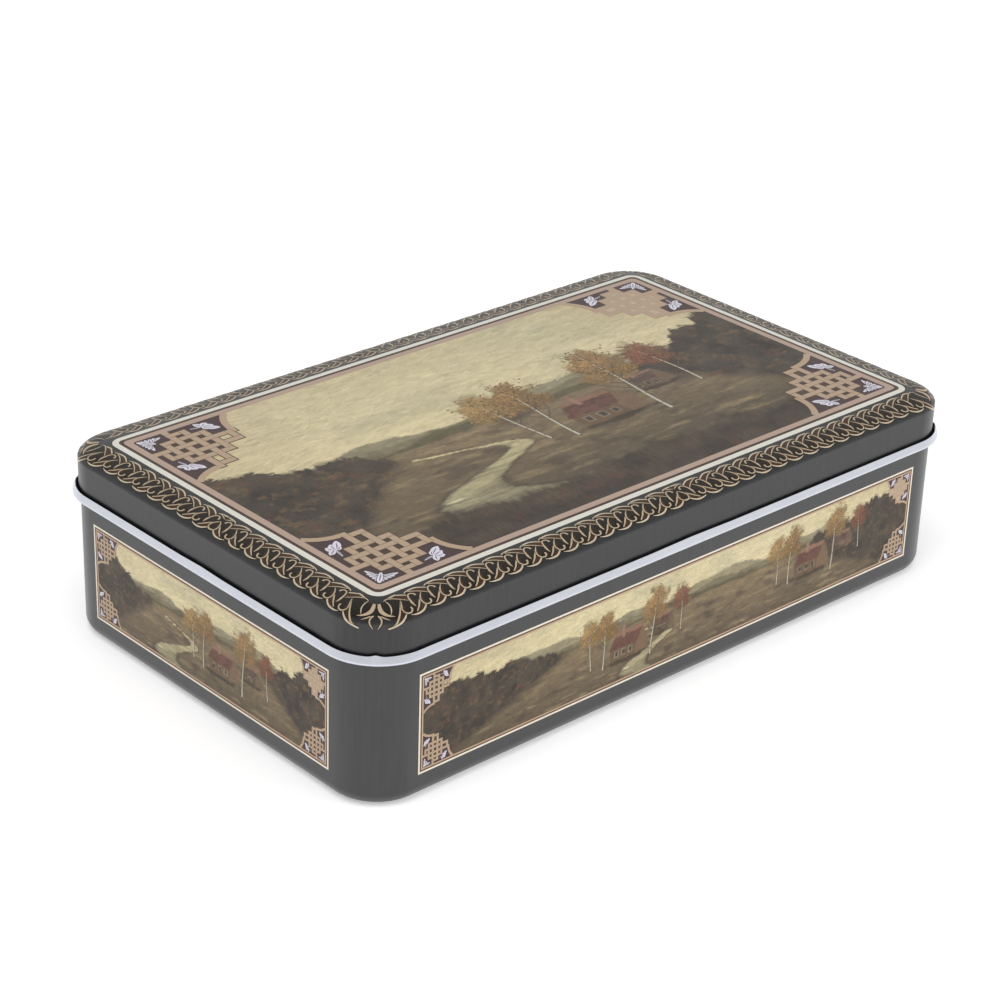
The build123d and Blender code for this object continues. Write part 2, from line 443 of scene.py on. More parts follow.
def cotton_finish():
    """Unbleached cotton in plain weave."""
    nodes = new_finish("bag_calico")
    waves = {"Vector": nodes.add("TexCoord", {}, "Object"), "Scale": 430, "Distortion": 1.2, "Detail": 2.0}
    threads = [nodes.add("TexWave", waves, "Fac", bands_direction=axis) for axis in ("X", "Y")]
    weave = nodes.add("Math", {0: threads[0], 1: threads[1]}, operation="MULTIPLY")
    slub = nodes.noise(420, 4.0, (0.25, 1, 1))
    tone = nodes.mix(weave, 1, (176, 160, 132), (222, 210, 184), 0, 1)
    layers = ((slub, 0.4, (190, 172, 140)),)
    return nodes.shade(tone, layers, (slub, 0.8, 0.95), (weave, 0.5, 0.12), {"Sheen Weight": 0.2})


def paper_finish():
    """Thin uncoated paper, its print carried by the points."""
    nodes = new_finish("leaflet_paper")
    fibre = nodes.noise(900, 5.0)
    layers = ((fibre, 0.16, (150, 142, 128)),)
    return nodes.shade(nodes.carried(), layers, (fibre, 0.75, 0.9), (nodes.noise(70), 0.4, 0.3))


LID_LACQUER, WALL_LACQUER = lacquer_finish("lid_lacquer", 0.61), lacquer_finish("wall_lacquer", 0.8)
TIN = tin_finish()
PRINT = ink_finish()
WOOD = wood_finish()
CARD_BOARD = board_finish("card_stock", (214, 204, 176), (178, 166, 142), 500)
CHIP_BOARD = board_finish("chip_stock", (150, 74, 58), (182, 168, 142), 700)
COTTON = cotton_finish()
PAPER = paper_finish()

# Lid: lacquered outside, bare inside, its foot turned out and up into a hem with a raw edge
HEM_OUT = LID_HIGH[0] - HALF_X
HEM_TURN, HEM_FOOT, HEM_LEAN, HEM_FACE = 0.75, 0.6, 25, 1.9
HEM_STEPS = 5
CUSP_RISE, CUSP_REACH, CUSP_SHIFT = 0.55, 2.2, 0.8
LID_STEPS = 44


def hem_side(inset):
    """Section of one face of the hem, inset from its bare outer face."""
    turn, foot, lean = HEM_TURN - inset, HEM_FOOT - inset, radians(HEM_LEAN)
    under = arc((SKIRT_OUT - SHEET + HEM_TURN, LID_LOW[2] + HEM_TURN), turn, 180, 90, 10)
    round_foot = arc((HEM_OUT - HEM_FOOT, LID_LOW[2] + HEM_FOOT), foot, -90, 90 + HEM_LEAN, 10)
    rise = np.linspace(0, HEM_FACE, HEM_STEPS + 1)[1:, None] * (-sin(lean), cos(lean))
    return np.concatenate([under, round_foot, round_foot[-1] + rise])


def raise_cusps(grid, stops):
    """Lifts the raw edge of the hem to a small point at the middle of each corner."""
    away = [abs(length - np.sign(length) * HALF_SIDES[side % 2] - CUSP_SHIFT) for side, length in stops]
    lift = CUSP_RISE * np.clip(1 - np.array(away) / CUSP_REACH, 0, 1) ** 1.6
    grid[-HEM_STEPS:, :, 2] += np.linspace(0, 1, HEM_STEPS + 1)[1:, None] * lift


def make_lid():
    stops = ring(LID_STEPS)
    skins = []
    for inset in (0, SHEET):
        radii = np.array((SHOULDER_REACH - inset, SHOULDER_DROP - inset))
        shoulder = arc((SHOULDER_START, SHOULDER_FOOT), radii, 90, -90, LID_STEPS)
        skins.append(carry_round(np.concatenate([shoulder, hem_side(SHEET - inset)]), stops))
        raise_cusps(skins[-1], stops)
    outer, inner = skins
    lid = Piece()
    lid.grid(outer[:, ::-1], ring=True)
    lid.grid(inner, finish=1, ring=True)
    lid.grid(np.stack([outer[-1], inner[-1]])[:, ::-1], finish=1, ring=True)
    lid.cap(outer[0])
    lid.cap(inner[0], finish=1, flip=True)
    lid.make("lid_shell_skin", (LID_LACQUER, TIN), "lid", "lid_shell")


make_lid()

# Body wall: the printed strip with its folded rim and its foot hooked under
SEAM_WIDTH, SEAM_DEPTH, SEAM_HEIGHTS = 5.0, 0.35, (4.5, 52.36)


def make_wall():
    base_radius, foot_reach, hook_length, fold_gap, fold_depth = 4.5, 9.0, 2.8, 0.1, 4.0
    fold_width, fold_foot = 2 * SHEET + fold_gap, WALL_HIGH[2] - fold_depth
    fold_centre = (-fold_width / 2, WALL_HIGH[2] - fold_width / 2)
    hook_top, hook_end = 3 * SHEET + 2 * fold_gap, hook_length - foot_reach
    foot = (-base_radius, base_radius)
    outside = np.concatenate([
        arc(foot, base_radius, -90, 90, 12),
        arc(fold_centre, fold_width / 2, 0, 180, 8),
        [(-fold_width, fold_foot)],
    ])
    inside = np.concatenate([
        [(SHEET - fold_width, fold_foot)],
        arc(fold_centre, fold_gap / 2, 180, -180, 4),
        arc(foot, base_radius - SHEET, 0, -90, 12),
        [(SHEET - foot_reach, SHEET), (SHEET - foot_reach, hook_top - SHEET), (hook_end, hook_top - SHEET),
         (hook_end, hook_top), (-foot_reach, hook_top), (-foot_reach, 0)],
    ])
    stops = ring(20)
    outer, inner = carry_round(outside, stops), carry_round(inside, stops)
    wall = Piece()
    wall.grid(outer, ring=True)
    wall.grid(inner, finish=1, ring=True)
    wall.grid(np.stack([outer[-1], inner[0]]), finish=1, ring=True)
    wall.grid(np.stack([inner[-1], outer[0]]), finish=1, ring=True)
    half, face = SEAM_WIDTH / 2, HALF_Y - SHEET
    section = ((half, face), (half, face - SEAM_DEPTH), (-half, face - SEAM_DEPTH), (-half, face))
    seam = np.array([[(*corner, height) for corner in section] for height in SEAM_HEIGHTS])
    wall.grid(seam, finish=1)
    wall.cap(seam[0], finish=1)
    wall.cap(seam[1], finish=1, flip=True)
    wall.make("body_wall_skin", (WALL_LACQUER, TIN), "tin_body", "body_wall")


make_wall()

# Landscape on the lid and the side panels: a river valley in autumn, drawn by formula.
# A picture's units are a hundred from its foot to its top.
NOISE_SIZE = 256
NOISE_GRID = np.random.default_rng(7).random((NOISE_SIZE, NOISE_SIZE))
SKY, FIELD, WATER, LEAVES, GRASS, SOLID = range(6)


def clouds(x, y, octaves, seed):
    """Soft noise from 0 to 1 in the plane."""
    total, weight, whole = 0.0, 0.5, 0.0
    x, y = x + 37.7 * seed, y + 19.3 * seed
    for _ in range(octaves):
        left, low = np.floor(x).astype(int), np.floor(y).astype(int)
        along, above = x - left, y - low
        along, above = along * along * (3 - 2 * along), above * above * (3 - 2 * above)
        first, second = left % NOISE_SIZE, low % NOISE_SIZE
        after, over = (first + 1) % NOISE_SIZE, (second + 1) % NOISE_SIZE
        near = NOISE_GRID[first, second] * (1 - along) + NOISE_GRID[after, second] * along
        far = NOISE_GRID[first, over] * (1 - along) + NOISE_GRID[after, over] * along
        total = total + weight * (near * (1 - above) + far * above)
        whole += weight
        weight /= 2
        x, y = 2.03 * x + 11.3, 2.03 * y + 5.7
    return total / whole


def limit(share):
    """A share kept from 0 to 1."""
    return np.clip(share, 0, 1)


def blend(first, second, share):
    """Colours part of the way from one to another."""
    share = limit(share)[..., None]
    return linear(first) * (1 - share) + linear(second) * share


class Canvas:
    """A picture painted in layers, each over the last."""

    def __init__(self, spots, half):
        x, y = spots[..., 0], spots[..., 1]
        self.half = half
        self.x, self.y = (way + 1.3 * (clouds(x / 4, y / 4, 3, seed) - 0.5) for way, seed in ((x, 1), (y, 2)))
        self.colour = np.zeros(x.shape + (3,))
        self.kind = np.zeros(x.shape, int)

    def paint(self, share, colour, kind=None):
        self.colour = blend(self.colour, colour, share)
        if kind is not None:
            self.kind = np.where(share > 0.5, kind, self.kind)

    def noise(self, width, height, octaves, seed):
        return clouds(self.x / width, self.y / height, octaves, seed)

    def flecks(self, strength, least, *noise):
        """A share that grows where the noise is above its least."""
        return limit(strength * (self.noise(*noise) - least))

    def swell(self, width, seed):
        """A wandering line, from -1 to 1."""
        return 2 * clouds(self.x / width, np.full_like(self.x, 0.5), 4, seed) - 1

    def below(self, line, blur=0.8):
        """Whether the picture lies below a line given by its height."""
        return limit((line - self.y) / blur + 0.5)

    def clump(self, x, y, reach, rise, rag, grain=2.4):
        """A ragged mass, such as a crown of leaves."""
        away = np.hypot((self.x - x) / reach, (self.y - y) / rise)
        return limit((1 - away - rag * (self.noise(grain, grain, 4, x * 0.37 + y) - 0.5)) / 0.3)

    def polygon(self, corners, blur=0.45):
        """A convex shape, its corners listed against the clock."""
        inside = np.full(self.x.shape, 9.0)
        for (ax, ay), (bx, by) in zip(corners, corners[1:] + corners[:1]):
            along, up = bx - ax, by - ay
            away = (along * (self.y - ay) - up * (self.x - ax)) / sqrt(along**2 + up**2)
            inside = np.minimum(inside, away)
        return limit(inside / blur + 0.5)


def paint_sky(c):
    rise = (c.y - 48) / 52
    c.paint(np.ones(c.x.shape), blend((226, 212, 168), (206, 194, 154), rise))
    c.paint(c.flecks(1.5, 0.48, 58, 15, 5, 3) * limit(rise), (232, 220, 184))
    c.paint(c.flecks(1.7, 0.54, 44, 19, 5, 4), (168, 164, 138))
    c.paint(0.5 * limit((64 - c.y) / 20), (226, 202, 158))
    c.paint(0.35 * limit((np.abs(c.x) / c.half - 0.5) * rise * 2), (140, 112, 78))


def paint_hills(c):
    hills = ((60, 6, (166, 156, 124), 5), (56.5, 5, (138, 128, 98), 6), (53.5, 4, (106, 98, 70), 7))
    for height, swell, shade, seed in hills:
        tone = blend(shade, linear(shade) * 0.62, c.noise(7, 2.5, 4, seed))
        c.paint(c.below(height + swell * c.swell(30, seed)), tone, FIELD)


def paint_meadow(c):
    land = blend((134, 116, 86), (68, 59, 48), (54 - c.y) / 54)
    land = blend(land, (164, 144, 106), c.flecks(2.2, 0.52, 13, 1.8, 5, 8))
    land = blend(land, (74, 60, 50), c.flecks(2.4, 0.5, 9, 3.2, 4, 9))
    c.paint(c.below(51.5 + c.swell(20, 10)), land, FIELD)


def paint_river(c):
    share = limit((49 - c.y) / 49)
    middle = -37 + 45 * share + (4 + 48 * share) * np.sin(3.4 * np.log(share + 0.05))
    width = 0.7 + 22 * share**1.3
    away = np.abs(c.x - middle) / width + 0.3 * (c.noise(5, 1.6, 4, 11) - 0.5)
    c.paint(0.85 * limit((1.25 - away) / 0.3) * c.below(47), (66, 56, 42))
    water = blend((214, 200, 152), (130, 124, 102), share * 1.3 - 0.1)
    water = blend(water, (92, 84, 66), c.flecks(2.4, 0.48, 15, 0.9, 4, 12))
    water = blend(water, (70, 60, 44), 1.6 * (away - 0.62))
    water = blend(water, (232, 222, 186), c.flecks(4, 0.7, 12, 0.7, 3, 13))
    c.paint(limit((1 - away) / 0.12) * c.below(46.6), water, WATER)


def paint_far_trees(c):
    top = 54.5 + 3.4 * c.swell(5, 14) + 1.6 * c.swell(1.7, 15)
    mass = c.below(top) * limit((c.y - 49.5 + c.swell(7, 16)) / 1.5)
    mass = mass * limit(3 * (clouds(c.x / 24, np.zeros_like(c.x), 2, 17) - 0.36))
    c.paint(mass, blend((80, 70, 50), (118, 94, 62), c.flecks(3, 0.45, 2.4, 1.8, 3, 18)), LEAVES)


def paint_wood(c, side):
    """A dark wood that climbs towards one side of the picture."""
    climb = limit((side * c.x - c.half * 0.44) / (c.half * 0.56))
    top = 47 + 25 * climb**0.8 + 7 * c.swell(8, 20 + side) + 2.4 * c.swell(1.6, 27 + side)
    foot = 50 - 42 * climb**1.1
    mass = c.below(top, 1.4) * limit((c.y - foot) / 6 + 0.5) * limit(climb * 9)
    c.paint(mass, blend((78, 68, 54), (38, 33, 29), c.flecks(1.6, 0.2, 6, 7, 4, 21 + side)), LEAVES)
    c.paint(0.6 * mass * c.flecks(5, 0.57, 3, 2.2, 5, 23 + side), (116, 92, 60))
    c.paint(0.45 * mass * c.flecks(6, 0.64, 5, 3, 4, 25 + side), (104, 62, 48))


def paint_cottage(c, x, y, size, wall, roof):
    """A timber house seen from one corner. Its shapes are in lengths of its size."""
    wall, roof = linear(wall), linear(roof)
    eaves, gable = 5.4, 6.4
    ridge = eaves + gable

    def shape(*corners):
        return c.polygon([(x + across * size, y + up * size) for across, up in corners])

    def box(left, low, right, high):
        return shape((left, low), (right, low), (right, high), (left, high))

    c.paint(0.9 * c.clump(x + 2 * size, y - 0.4 * size, 11.7 * size, 1.6 * size, 0.6), (58, 46, 32))
    front = box(-6.5, 0, 6.5, eaves)
    end = shape((6.5, 0), (12.5, 0.9), (12.5, eaves), (9.5, ridge), (6.5, eaves))
    top = shape((-7.5, eaves - 0.4), (7, eaves - 0.4), (9.5, ridge), (-3.5, ridge))
    logs = 0.5 + 0.5 * np.sin(c.y * 6.3 / size)
    c.paint(front, wall * 0.55, SOLID)
    c.paint(0.5 * front * logs, wall)
    c.paint(end, wall, SOLID)
    c.paint(0.35 * end * logs, wall * 0.5)
    c.paint(top, roof, SOLID)
    c.paint(top * c.flecks(2.5, 0.42, 1.6, 0.8, 3, x), roof * 0.45)
    c.paint(0.5 * top * box(-6.5, eaves + 0.72 * gable, 12.5, ridge), (168, 132, 106))
    for left in (-4.16, -0.52, 3.12):
        for rim, shade in ((0.3, (150, 134, 106)), (0, (52, 44, 40))):
            c.paint(box(left - rim, 1.9 - rim, left + 1.5 + rim, 3.8 + rim), shade)
    c.paint(box(-0.65, eaves + 0.6 * gable, 0.75, eaves + 1.3 * gable), (150, 116, 96))


def paint_crown(c, x, y, height, lean, crown):
    """The mass of a birch's loose crown."""
    for across, up, reach, rise, tone in CROWN:
        middle = (x + lean + across * height, y + up * height)
        mass = c.clump(*middle, reach * height, rise * height, 1.5, 0.07 * height + 0.6)
        c.paint(0.75 * mass, linear(crown) * tone, LEAVES)


def paint_front(c):
    """Dark ground and bushes along the foot of the picture."""
    line = 14 + 5 * c.swell(14, 30) + 1.6 * c.swell(1.4, 34)
    c.paint(c.below(line, 3), blend((84, 70, 54), (44, 37, 32), c.flecks(1.5, 0.2, 9, 5, 4, 31)), GRASS)
    c.paint(0.7 * c.below(line - 3, 3) * c.flecks(5, 0.62, 7, 3, 5, 33), (98, 56, 46))
    c.paint(0.5 * limit((9 - c.y) / 14), (48, 41, 38))


# A hamlet's cottages and birches by place in the hamlet, and a birch's crown in heights of the tree
COTTAGES = ((41, 41, 0.8, (112, 90, 68), (98, 72, 60)), (17, 33, 1.3, (124, 98, 72), (106, 66, 54)))
BIRCHES = ((56, 36, 30, -1, (132, 84, 58)), (-4, 34, 33, -2, (166, 134, 82)), (4, 31, 38, 2, (150, 116, 70)),
           (36, 28, 44, 3, (158, 124, 76)))
TREE_GROWTH = 0.2
CROWN = ((0, 0.74, 0.24, 0.27, 0.55), (-0.1, 0.66, 0.15, 0.14, 0.8), (0.1, 0.62, 0.13, 0.12, 0.7),
         (0.04, 0.86, 0.12, 0.13, 0.9), (-0.08, 0.8, 0.1, 0.1, 1.05))


def landscape(spots, half, size, hamlets):
    """Colours and kinds of ground in a picture that reaches half to each side, with hamlets of a size."""
    c = Canvas(spots, half)
    for paint in (paint_sky, paint_hills, paint_meadow, paint_river, paint_far_trees):
        paint(c)
    paint_wood(c, -1)
    paint_wood(c, 1)
    for across, up in hamlets:
        for near, low, scale, wall, roof in COTTAGES:
            paint_cottage(c, across + near * size, up + low, scale * size, wall, roof)
        for near, low, height, lean, crown in BIRCHES:
            paint_crown(c, across + near * size, up + low, height * size**TREE_GROWTH, lean, crown)
    paint_front(c)
    grain = 1 + 0.3 * (c.noise(1.1, 0.55, 2, 40) - 0.5) + 0.3 * (c.noise(4, 1.4, 3, 41) - 0.5)
    return limit(c.colour * grain[..., None]), c.kind


# Brush strokes for each kind of ground: length, width, slant, spread of the slant and change of tone
BRUSH = np.array([(5.5, 1.0, 0.1, 0.25, 0.06), (2.6, 0.42, 0, 0.14, 0.24), (3.4, 0.3, 0, 0.05, 0.16),
                  (1.15, 0.5, 0.7, 1.1, 0.42), (3.8, 0.24, 1.5, 0.24, 0.55)])
SKY_DABS = 0.3
DAB_AREA = 1.1
EVEN_STEPS = (0.7548776662, 0.569840291)


def draw_dabs(piece, place, spots, sizes, turns, colours, lift, room=LAYER / 4):
    """Short strokes of the brush, pointed at both ends, each a little above the one before."""
    lift = lift + room * np.linspace(0, 1, len(spots))[:, None]
    along, across = ways(turns) * sizes[:, :1] / 2, ways(turns + pi / 2) * sizes[:, 1:] / 2
    corners = np.stack([spots - along, spots - across, spots + along, spots + across], 1)
    faces = np.arange(4 * len(spots)).reshape(-1, 4).tolist()
    piece.add(place(corners, lift), faces, np.repeat(colours, 4, 0))


def draw_brushwork(piece, place, low, high, rng, half, size, hamlets):
    """Dabs all over a landscape, in its own colours."""
    count = int((high - low) * 2 * half / DAB_AREA)
    shares = np.arange(count)[:, None] * EVEN_STEPS % 1
    where = (-half, low) + shares * (2 * half, high - low) + rng.uniform(-0.5, 0.5, (count, 2))
    colours, kinds = landscape(where, half, size, hamlets)
    kept = (kinds < SOLID) & ((kinds != SKY) | (rng.random(count) < SKY_DABS))
    where, colours, brush = where[kept], colours[kept], BRUSH[kinds[kept]]
    sizes = brush[:, :2] * rng.uniform(0.6, 1.3, (len(where), 2))
    turns = brush[:, 2] + brush[:, 3] * rng.normal(size=len(where))
    tones = 1 + brush[:, 4] * rng.uniform(-1, 1.15, len(where))
    reach = sizes[:, :1] / 2 * np.abs(ways(turns))
    inside = np.all((where - reach > (-half, low)) & (where + reach < (half, high)), axis=1)
    dabs = (each[inside] for each in (where, sizes, turns, colours * tones[:, None]))
    draw_dabs(piece, place, *dabs, BRUSHWORK, BRUSH_ROOM)


def draw_birch(piece, place, rng, lift, x, y, height, lean, crown):
    """Trunk, boughs and loose leaves of a birch."""
    rise = np.linspace(0, 1, 12)
    bend = lean * rise**1.3 + 0.012 * height * np.sin(5 * rise + x)
    trunk = np.stack([x + bend, y + height * rise * 0.93], 1)
    light = trunk - (0.007 * height, 0)
    stroke(piece, place, trunk, np.linspace(0.042, 0.008, 5) * height, (104, 92, 78), lift)
    stroke(piece, place, light, np.linspace(0.022, 0.004, 5) * height, (196, 188, 166), lift + LAYER / 5)
    marks = trunk[rng.integers(0, 9, 9)] + rng.uniform(-0.01, 0.01, (9, 2)) * height
    mark_sizes, black = np.full((9, 2), (0.028 * height, 0.4)), np.full((9, 3), 0.03)
    draw_dabs(piece, place, marks, mark_sizes, np.zeros(9), black, lift + LAYER / 4)
    for bough in range(9):
        start = trunk[4 + bough * 3 // 4]
        way = 1 if bough % 2 else -1
        reach = height * rng.uniform(0.1, 0.2) * (1.15 - bough / 16)
        line = start + smooth([(0, 0), (way * reach * 0.5, reach * 0.5), (way * reach, reach * 1.2)], 1.0)
        widths, depth = (0.014 * height, 0.005 * height), (9 - bough) * LAYER / 60
        stroke(piece, place, line, widths, (84, 72, 60), lift - depth)
    leaf_count = int(11 * height)
    clumps = np.array(CROWN)[rng.integers(0, len(CROWN), leaf_count)]
    strewn = np.clip(rng.normal(0, 0.5, (leaf_count, 2)), -1, 1)
    leaves = (x + lean, y) + (clumps[:, :2] + strewn * clumps[:, 2:4]) * height
    tones = clumps[:, 4:] * rng.uniform(0.5, 1.5, (leaf_count, 1)) + 0.1
    sizes = rng.uniform(0.6, 1.4, (leaf_count, 1)) * (1.1, 0.6)
    turns = rng.uniform(0, pi, leaf_count)
    draw_dabs(piece, place, leaves, sizes, turns, linear(crown) * tones, lift + LAYER / 3)


# Scroll border round the lid: widths and points of its lines, by length along the side and out from the top
UNITS = (15, 8)
UNIT_START, HOOK_TOP, MIDDLE_GAP = 13.9, 1.2, 2.95
LINE_STEP = 0.22
# By side: how far the scroll is drawn together below its top, and how far it lies further in
SCROLL_TOP = 5.15
SCROLL_REACH = (0.925, 0.885, 0.925, 0.885)
SCROLL_SHIFT = (0, 0, 0.8, 0)
SCROLL = {
    "hook_above": [(-0.15, 11.6), (-0.3, 10.4), (-0.1, 9.0), (0.3, 7.6), (1.0, 6.75), (1.85, 6.7),
                   (2.45, 7.2), (2.6, 8.0)],
    "leaf_above_outer": [(0.25, 5.9), (1.0, 5.4), (2.2, 5.15), (4.2, 5.1), (5.8, 5.75), (7.2, 6.7)],
    "leaf_above_inner": [(1.4, 5.4), (3.6, 6.45), (5.3, 7.7), (6.5, 8.8)],
    "leaf_below_inner": [(4.5, 7.8), (3.3, 9.2), (2.0, 10.5), (0.6, 12.0), (-0.9, 13.2)],
    "leaf_below_outer": [(-3.2, 13.35), (-2.0, 13.75), (-0.3, 13.9), (1.2, 13.6), (2.3, 12.9), (3.0, 12.2)],
    "hook_below": [(4.4, 7.9), (3.1, 9.4), (2.55, 10.7), (2.65, 11.8), (3.35, 12.5), (4.3, 12.55),
                   (4.95, 12.0), (5.05, 11.2)],
}
WIDTHS = {
    "hook_above": (0.2, 0.7, 0.5, 0.42, 0.42, 0.62),
    "leaf_above_outer": (0.2, 0.54, 0.54, 0.42),
    "leaf_above_inner": (0.3, 0.36, 0.36, 0.2),
    "leaf_below_inner": (0.3, 0.45, 0.5, 0.3),
    "leaf_below_outer": (0.14, 0.46, 0.56, 0.52, 0.46),
    "hook_below": (0.2, 0.42, 0.42, 0.42, 0.42, 0.62),
}
# Beside a corner the leaves are longer
END_SCROLL = {
    "leaf_above_outer": [(-3.6, 6.9), (-2.2, 6.2), (1.5, 5.3), (4.2, 5.1), (5.8, 5.75), (7.2, 6.7)],
    "leaf_above_inner": [(-1.6, 6.0), (1.4, 6.25), (4.4, 7.3), (6.4, 8.8)],
    "leaf_below_inner": [(3.9, 7.7), (1.9, 10.0), (-0.1, 13.3), (-1.3, 15.0), (-3.2, 16.0)],
    "leaf_below_outer": [(2.9, 12.3), (2.4, 12.8), (0.6, 14.5), (-1.3, 15.5), (-3.2, 16.1)],
    "hook_below": [(3.9, 7.9), (2.6, 9.8), (2.0, 11.0), (2.2, 12.0), (3.1, 12.7), (4.2, 12.7), (5.05, 12.0),
                   (5.1, 11.2)],
}
# One half of the ornament on a corner: a thick hook, an arc beside it and half of the lyre below
PALMETTE = (
    ([(3.7, 6.9), (4.6, 7.8), (5.1, 9.2), (4.95, 10.6), (4.45, 12.0)],
     (0.15, 0.42, 0.46, 0.4, 0.15), GOLD_PALE),
    ([(1.0, 12.35), (1.7, 12.6), (2.6, 13.1), (3.9, 13.7)], (0.1, 0.4, 0.34, 0.08), GOLD),
    ([(0.62, 12.3), (1.25, 12.95), (1.6, 13.7), (1.45, 14.6), (1.05, 15.3), (0.62, 16.1)],
     (0.4, 0.46, 0.4, 0.36, 0.28, 0.1), GOLD),
    ([(0.95, 7.9), (1.15, 9.4), (1.6, 10.7), (2.6, 11.7), (3.9, 12.35), (5.5, 12.75)],
     (1.2, 1.4, 1.4, 1.0, 0.55, 0.08), GOLD),
)
PALMETTE_SHIFT = 0.6


def on_border(side):
    """The shoulder for the scroll, the same as the shoulder itself within a corner's turn."""
    place = on_shoulder(side)
    middle, passage = HALF_SIDES[side % 2], 9

    def there(spots, lift):
        along, out = spots[..., 0], spots[..., 1]
        share = limit((middle - np.abs(along) - passage) / passage)
        below = np.clip(out - SCROLL_TOP, 0, None) * (1 - SCROLL_REACH[side])
        return place(np.stack([along, out - share * (below + SCROLL_SHIFT[side])], -1), lift)

    return there


def draw_unit(piece, place, shapes, start, end):
    """One turn of the scroll, cut off at the middle of the side."""
    lines = {}
    for name, points in shapes.items():
        line = smooth(points, LINE_STEP) + (start, 0)
        line = line[line[:, 0] <= end]
        if len(line) > 2:
            lines[name] = line
    if "leaf_above_inner" in lines:
        inner, outer = lines["leaf_above_inner"], lines["leaf_above_outer"]
        patch(piece, place, outer[outer[:, 0] >= inner[0, 0]], inner, LEAF_BROWN, INK - LAYER)
    if "leaf_below_inner" in lines:
        inner, outer = lines["leaf_below_inner"], lines["leaf_below_outer"]
        if outer[0, 0] < outer[-1, 0]:
            outer = outer[outer[:, 0] >= inner[-1, 0]][::-1]
        patch(piece, place, inner, outer, LEAF_BROWN, INK - LAYER)
    for level, (name, line) in enumerate(lines.items()):
        ink = LEAF_GOLD if "outer" in name else GOLD
        rimmed(piece, place, line, WIDTHS[name], ink, INK + level * LAYER / 2)


def draw_palmette(piece, place):
    """The ornament on a corner, drawn twice, mirrored."""
    for level, way in enumerate((1, -1)):
        for number, (points, widths, ink) in enumerate(PALMETTE):
            lift = INK + level * LAYER / 2 + number * LAYER / 3
            rimmed(piece, moved(place, 0, (way, 1)), smooth(points, LINE_STEP), widths, ink, lift)


def draw_ground(piece, place, reach, pitch):
    """The dark ground behind the scroll, scalloped like its leaves."""
    along = np.append(np.arange(0.3, reach, 0.35), reach)
    phase = np.mod(along - UNIT_START - 4.2, pitch)
    near = limit(1 - along / 7)
    above = SCROLL_TOP + 0.75 * np.abs(np.sin(pi * phase / pitch)) + 2.6 * near
    below = 13.95 - 0.9 * np.abs(np.sin(pi * (phase - 1.0) / pitch)) - 1.4 * near
    rows = lines_between(np.stack([along, above], 1), np.stack([along, below], 1), 29)
    piece.grid(place(rows, GROUND), SCROLL_GROUND)


def make_border():
    border = Piece()
    for side in range(4):
        reach, units = HALF_SIDES[side % 2], UNITS[side % 2]
        pitch = (reach - UNIT_START - HOOK_TOP - MIDDLE_GAP) / (units - 1)
        for way in (1, -1):
            place = moved(on_border(side), (-way * reach, 0), (way, 1))
            draw_ground(border, place, reach, pitch)
            draw_unit(border, place, END_SCROLL, UNIT_START - pitch, reach)
            for unit in range(units):
                draw_unit(border, place, SCROLL, UNIT_START + unit * pitch, reach)
        draw_palmette(border, moved(on_shoulder(side), (reach + PALMETTE_SHIFT, 0)))
    border.make("lid_border_print", (PRINT,), "lid")


make_border()

# Corner lattices, the same on the lid and, smaller, on the sides. A strap is its two edges and its two ends.
STRAPS = ((1.9, 3.9, 9.9, 17.1), (5.5, 7.65, 5.5, 21.5), (9.9, 12.1, 0, 29.1),
          (14.85, 17.1, 1.9, 27.7), (19.25, 21.5, 5.5, 21.5), (25.5, 27.7, 9.9, 17.1))
ARC_CENTRE = (43.05, 11.0)
ARC_RADIUS = 15.0
STRAP = 2.15
LATTICE_EDGE = 0.35
WEAVE_LINE = 0.22
SPRIG_PETALS = (
    ([(18.4, 2.9), (20.0, 3.25), (21.8, 3.6)], 0.7), ([(22.6, 3.6), (21.8, 2.2), (21.0, 0.6)], 2.0),
    ([(22.3, 3.7), (23.2, 2.7), (24.9, 2.1)], 2.3), ([(22.2, 3.7), (23.4, 5.0), (26.4, 7.0)], 2.4),
    ([(22.0, 3.7), (23.8, 3.9), (25.7, 4.4)], 2.5), ([(22.3, 3.7), (22.4, 4.8), (23.4, 5.9)], 1.5),
)
# Half of the corner ornament: feathers from the tip of the wing round to the tail
CORNER_PETALS = (
    ([(4.3, 4.3), (3.1, 5.0), (2.5, 6.4), (2.0, 8.3)], 1.05), ([(4.2, 4.3), (2.8, 5.0), (1.3, 6.6)], 1.1),
    ([(4.1, 4.5), (2.6, 4.4), (1.15, 5.25)], 1.2), ([(3.8, 4.1), (2.3, 3.4), (0.95, 3.85)], 1.2),
    ([(3.6, 3.8), (2.3, 2.5), (0.85, 2.4)], 1.3),
)
TAIL_PETAL = ([(4.9, 4.9), (2.6, 2.6), (0.85, 0.85)], 1.6)


def draw_petals(piece, place, petals, lift, merged=False):
    """Pale petals, each a line with its width, with dark rims and veins; merged ones share one rim."""
    for number, (points, width) in enumerate(petals):
        line = smooth(points, 0.5)
        shape = width * np.array((0.4, 0.7, 0.9, 1, 0.8, 0.15) if merged else (0.4, 0.7, 0.9, 1, 1, 0.4))
        under, over, vein = lift + number * LAYER / 2, lift + (number + 0.5) * LAYER / 2, 0.2
        if merged:
            under, over, vein = lift + number * LAYER / 12, lift + LAYER * (0.75 + number / 12), 0.6
        stroke(piece, place, line, shape + 0.3, CORNER_GROUND, under)
        stroke(piece, place, line, shape, SPRIG, over)
        ends = len(line) // 5
        stroke(piece, place, line[ends:-ends], (0.1, 0.3, 0.28, 0.05), VEIN, over + LAYER * vein)


